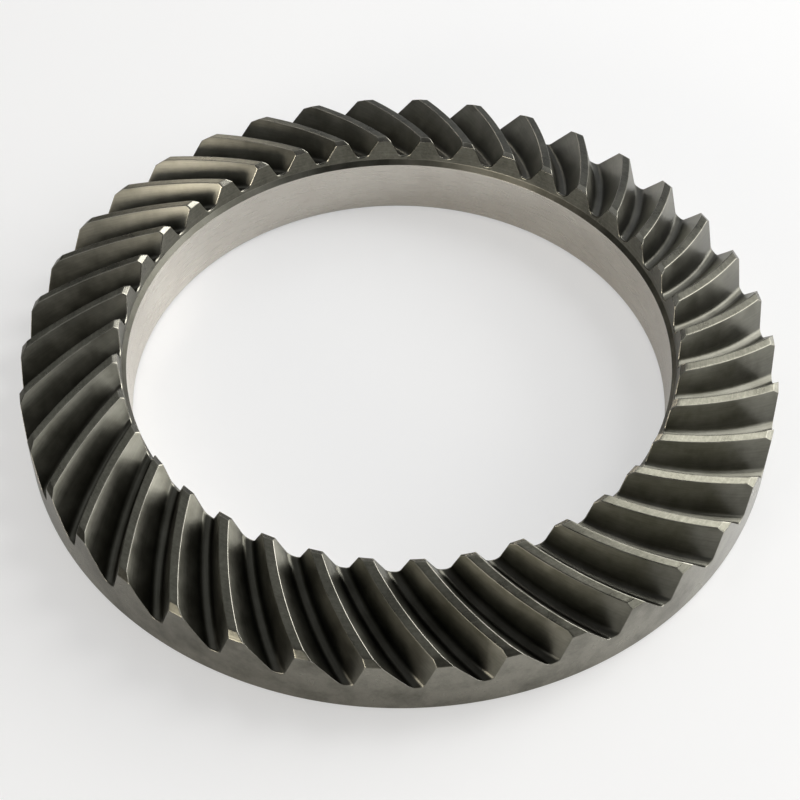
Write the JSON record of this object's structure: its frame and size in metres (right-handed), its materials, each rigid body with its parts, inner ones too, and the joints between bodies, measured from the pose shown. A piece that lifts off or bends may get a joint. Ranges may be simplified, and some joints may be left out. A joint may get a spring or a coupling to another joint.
{
  "type": "spiral bevel ring gear",
  "caption": "Flat steel ring gear with left-hand curved bevel teeth on its upper face, sloping top lands and a plain ground centre bore; the driven gear of a rear axle.",
  "frame": {"origin": "on the gear axis, in the flat back face", "axes": "+Z is the gear axis and points from the back face to the teeth; +X passes through the middle of one tooth space at mid face width"},
  "size_m": [0.22, 0.22, 0.028],
  "materials": {
    "gear_steel": "case-hardened steel: dull dark grey cut tooth flanks, turned faces, bright ground bore"
  },
  "bodies": {
    "root": {"ring_gear": "gear_steel"}
  },
  "joints": []
}
